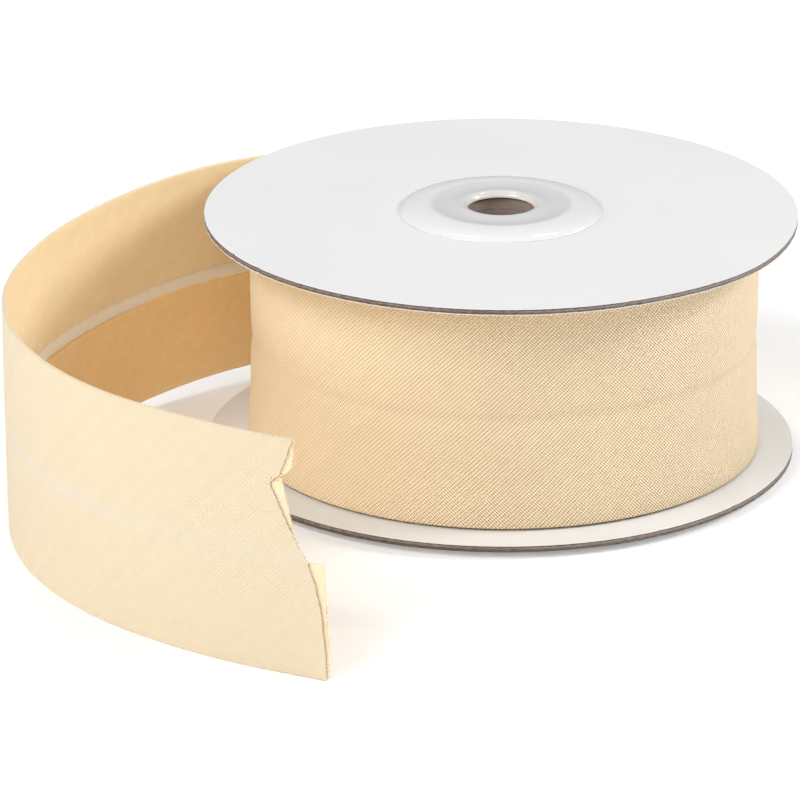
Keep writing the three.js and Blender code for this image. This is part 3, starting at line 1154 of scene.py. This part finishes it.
class SPOOL_OT_wound_turns(bpy.types.Operator):
    """Makes the wound turns under the outermost one"""

    bl_idname = "spool.wound_turns"
    bl_label = "Wound turns"

    def execute(self, context):
        settings = context.scene.spool_tape
        cell = TURN_THICKNESS / RINGS_PER_TURN
        reach = outline_radius(0) - TURN_THICKNESS
        count = int((reach - COLLAR_BORE) / cell)
        radii = [reach - cell * step for step in range(1, count)]
        rows = [{"radius": reach, "height": row["up"]} for row in ROLL_SIDE]
        rows += [{"radius": radius, "height": TAPE_WIDTH} for radius in radii]
        rows += table(
            ("radius", "height"),
            (COLLAR_BORE, TAPE_WIDTH),
            (COLLAR_BORE, TAPE_WIDTH - COLLAR_REACH),
            (ROLL_BORE, TAPE_WIDTH - COLLAR_REACH),
            (ROLL_BORE, COLLAR_REACH),
            (COLLAR_BORE, COLLAR_REACH),
            (COLLAR_BORE, 0),
        )
        rows += [{"radius": radius, "height": 0} for radius in reversed(radii)]
        bm = spun(rows, TURN_SEGMENTS)
        for vert in bm.verts:
            angle = math.atan2(vert.co.y, vert.co.x)
            turn = math.degrees((angle - JOIN_ANGLE) % TURN)
            tucked = smooth_step(360 - TUCKED_TURN - TUCKED_OVER, 360 - TUCKED_TURN, turn)
            target = outline_radius(turn) - TURN_THICKNESS * (1 + tucked)
            radius = vert.co.xy.length
            height = vert.co.z
            share = max(radius - COLLAR_BORE, 0) / (reach - COLLAR_BORE)
            moved = radius + share * (target - reach)
            if radius > reach - cell / 2:
                moved += curve_at(ROLL_SIDE, "up", "swell", height)
            phase = math.pi * (moved / TURN_THICKNESS - angle / TURN)
            notch = TURN_NOTCH * (1 - abs(math.sin(phase))) * smooth_step(0, 0.05, share)
            if height == 0:
                height += notch
            if height == TAPE_WIDTH:
                height -= notch
            scale = moved / radius
            vert.co = Vector((vert.co.x * scale, vert.co.y * scale, height + TAPE_FOOT))
        turns = make_piece(bm, "wound_turns", [turns_finish(settings)], sharp=60)
        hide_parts("tape_roll")
        return {"FINISHED"}


def ribbon_runs(folds):
    """How the flat cloth is divided along and across, closer at its cut, folds and valley."""
    start = math.radians(TUCKED_TURN + 360) * (outline_radius(360) - folds["half"])
    columns = ("end", "cells")
    along = table(columns, (-start, 0), (0, 226), (190, 146), (219.5, 56), (TAIL_LENGTH, 12))
    across = table(
        columns,
        (0, 0),
        (RAW_EDGE, 1),
        (folds["lower"], 13),
        (folds["foot"], 6),
        (folds["face_start"] + VALLEY_FROM, 12),
        (folds["face_start"] + VALLEY_TO, 8),
        (folds["head"], 13),
        (folds["upper"], 6),
        (folds["whole"] - RAW_EDGE, 13),
        (folds["whole"], 1),
    )
    return along, across


def cloth_grid(folds):
    """The flat cloth, cut to its outline, with its own place as its UV map."""
    along_runs, across_runs = ribbon_runs(folds)
    columns = sum(run["cells"] for run in along_runs)
    rows = sum(run["cells"] for run in across_runs)
    bm = bmesh.new()
    uv = bm.loops.layers.uv.new("cloth")
    bmesh.ops.create_grid(bm, x_segments=columns, y_segments=rows, size=0.5)
    if len(bm.verts) != (columns + 1) * (rows + 1):
        raise RuntimeError("the flat cloth's grid hasn't the lines that its runs count")
    fine_from = 0.5 - (FINE_COLUMNS + 0.5) / columns
    across_edges = [
        edge
        for edge in bm.edges
        if all(vert.co.x > fine_from for vert in edge.verts)
        and abs(edge.verts[0].co.x - edge.verts[1].co.x) < 0.1 / columns
    ]
    bmesh.ops.subdivide_edges(bm, edges=across_edges, cuts=3, use_grid_fill=True)
    for vert in bm.verts:
        along = spaced(along_runs, (vert.co.x + 0.5) * columns)
        across = spaced(across_runs, (vert.co.y + 0.5) * rows)
        vert.co = Vector((*flat_place(along, across, folds), 0))
    for face in bm.faces:
        for loop in face.loops:
            loop[uv].uv = loop.vert.co.xy * MM
    return bm


def loose_threads(settings, folds, material):
    """Short thread ends that stick out of the cut, all in the colour of the tape's face."""
    random.seed(7)
    bm = bmesh.new()
    uv = bm.loops.layers.uv.new("cloth")
    for _ in range(settings.loose_threads):
        across = random.uniform(0.5, folds["whole"] - 0.5)
        up, _, cut, _ = section_place(across, folds)
        end = value_at(cut, "up", "end", up)
        reach = random.uniform(*THREAD_REACH)
        slant = random.choice((-1, 1)) * random.uniform(*THREAD_SLANT)
        foot = fold_point(end - THREAD_ROOT, across, settings, folds)
        tip = fold_point(end + reach, across + reach * slant, settings, folds)
        tip += Vector([random.uniform(-THREAD_CURL, THREAD_CURL) for _ in range(3)])
        line = tip - foot
        turned = line.to_track_quat("Z", "Y").to_matrix().to_4x4()
        bmesh.ops.create_cone(
            bm,
            cap_ends=True,
            segments=5,
            radius1=THREAD_RADII[0],
            radius2=THREAD_RADII[1],
            depth=line.length,
            matrix=Matrix.Translation((foot + tip) / 2) @ turned,
        )
    for face in bm.faces:
        for loop in face.loops:
            loop[uv].uv = (TAIL_LENGTH * MM, folds["foot"] * MM * 2)
    threads = make_piece(bm, "thread_ends", [material], sharp=60)
    return threads


class SPOOL_OT_ribbon(bpy.types.Operator):
    """Makes the folded tape: the roll's outermost turn and the loose end, one sheet"""

    bl_idname = "spool.ribbon"
    bl_label = "Folded tape"

    def execute(self, context):
        settings = context.scene.spool_tape
        folds = fold_places(settings)
        bm = cloth_grid(folds)
        for vert in bm.verts:
            vert.co = fold_point(vert.co.x, vert.co.y, settings, folds)
        face = cloth_face_finish(settings)
        back = cloth_back_finish(settings)
        ribbon = make_piece(bm, "folded_tape", [face, back], sharp=180)
        shell = ribbon.modifiers.new("Cloth thickness", "SOLIDIFY")
        shell.thickness = settings.cloth
        shell.offset = 0
        shell.material_offset = 1
        apply_modifiers(ribbon, sharp=55)
        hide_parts("tape_tail", "tape_roll")
        threads = loose_threads(settings, folds, face)
        start = -ribbon_runs(folds)[0][0]["end"]
        return {"FINISHED"}


def add_light(row, energy):
    """A soft rectangular light that the camera doesn't see."""
    data = bpy.data.lights.new(row["name"], "AREA")
    data.shape = "RECTANGLE"
    data.size = row["width"]
    data.size_y = row["height"]
    data.energy = energy
    up = math.radians(row["up"])
    bearing = math.radians(row["bearing"])
    towards = Vector(
        (math.cos(up) * math.sin(bearing), -math.cos(up) * math.cos(bearing), math.sin(up))
    )
    light = bpy.data.objects.new(row["name"], data)
    light.location = LIGHT_TARGET + towards * LIGHT_DISTANCE
    light.rotation_euler = towards.to_track_quat("Z", "Y").to_euler()
    light.visible_camera = False
    light.visible_glossy = row["name"] != "backdrop"
    bpy.context.scene.collection.objects.link(light)


def add_floor(settings):
    """A pale floor whose far part grows as bright as the wall."""
    bm = bmesh.new()
    bmesh.ops.create_grid(bm, x_segments=2, y_segments=2, size=FLOOR_REACH)
    finish = Finish("floor_paper", Roughness=0.9, Specular_IOR_Level=0.1)
    finish.colour(settings.floor)
    distance = finish.add("ShaderNodeVectorMath", finish.object_place(), operation="LENGTH")
    brightness = finish.add(
        "ShaderNodeMapRange",
        distance.outputs["Value"],
        LIT_FROM,
        LIT_FULLY_AT,
        settings.glow,
        settings.wall,
    )
    finish.glow(brightness.outputs["Result"])
    floor = new_object(bm, "floor", [finish.material])


def add_wall(brightness):
    """An evenly pale wall that only the camera sees, so that it changes no light."""
    bm = bmesh.new()
    bmesh.ops.create_cone(
        bm,
        cap_ends=False,
        segments=96,
        radius1=WALL_RADIUS,
        radius2=WALL_RADIUS,
        depth=WALL_HEIGHT,
        matrix=Matrix.Translation((0, 0, WALL_HEIGHT / 2)),
    )
    bmesh.ops.reverse_faces(bm, faces=bm.faces)
    finish = Finish("wall_paper", Roughness=1.0, Specular_IOR_Level=0.0)
    finish.colour((0, 0, 0))
    finish.glow(brightness)
    wall = new_object(bm, "wall", [finish.material])
    wall.visible_diffuse = False
    wall.visible_glossy = False
    wall.visible_transmission = False
    wall.visible_shadow = False


def add_sky(strength):
    """Even white light from all round."""
    world = bpy.data.worlds.new("studio")
    world.use_nodes = True
    background = world.node_tree.nodes["Background"]
    background.inputs["Strength"].default_value = strength
    background.inputs["Color"].default_value = (1, 1, 1, 1)
    bpy.context.scene.world = world


def add_camera():
    """The camera in the photograph's place, which looks a little down."""
    data = bpy.data.cameras.new("camera")
    data.lens = CAMERA_LENS
    data.sensor_width = CAMERA_SENSOR
    data.clip_start = 0.01
    data.clip_end = 20
    camera = bpy.data.objects.new("camera", data)
    camera.location = Vector(CAMERA_PLACE) * MM
    camera.rotation_euler = (math.pi / 2 - CAMERA_FALL, 0, 0)
    bpy.context.scene.collection.objects.link(camera)
    bpy.context.scene.camera = camera


class SPOOL_OT_studio(bpy.types.Operator):
    """Lays the floor and sets the wall, the lights and the camera"""

    bl_idname = "spool.studio"
    bl_label = "Studio"

    def execute(self, context):
        settings = context.scene.spool_stage
        add_floor(settings)
        add_wall(settings.wall)
        add_sky(settings.sky)
        for row in LIGHTS:
            add_light(row, getattr(settings, row["power"]))
        add_camera()
        context.scene.view_settings.view_transform = "Standard"
        return {"FINISHED"}


OPERATORS = (
    SPOOL_OT_boards,
    SPOOL_OT_hub_caps,
    SPOOL_OT_core_tube,
    SPOOL_OT_wound_turns,
    SPOOL_OT_ribbon,
    SPOOL_OT_studio,
)


class SPOOL_PT_panel(bpy.types.Panel):
    """Lists the pieces in the order that they are made"""

    bl_idname = "SPOOL_PT_panel"
    bl_label = "Bias tape"
    bl_space_type = "VIEW_3D"
    bl_region_type = "UI"
    bl_category = "Bias tape"

    def draw(self, context):
        for operator in OPERATORS:
            self.layout.operator(operator.bl_idname)


def register():
    """Registers the settings, the operators and the panel."""
    for name, group in SETTINGS.items():
        bpy.utils.register_class(group)
        setattr(bpy.types.Scene, name, PointerProperty(type=group))
    for operator in OPERATORS:
        bpy.utils.register_class(operator)
    bpy.utils.register_class(SPOOL_PT_panel)


def unregister():
    """Takes everything out again."""
    bpy.utils.unregister_class(SPOOL_PT_panel)
    for operator in reversed(OPERATORS):
        bpy.utils.unregister_class(operator)
    for name, group in SETTINGS.items():
        delattr(bpy.types.Scene, name)
        bpy.utils.unregister_class(group)


def main():
    """Makes every piece and the stage."""
    register()
    bpy.ops.spool.boards()
    bpy.ops.spool.hub_caps()
    bpy.ops.spool.core_tube()
    bpy.ops.spool.wound_turns()
    bpy.ops.spool.ribbon()
    bpy.ops.spool.studio()


if __name__ == "__main__":
    main()
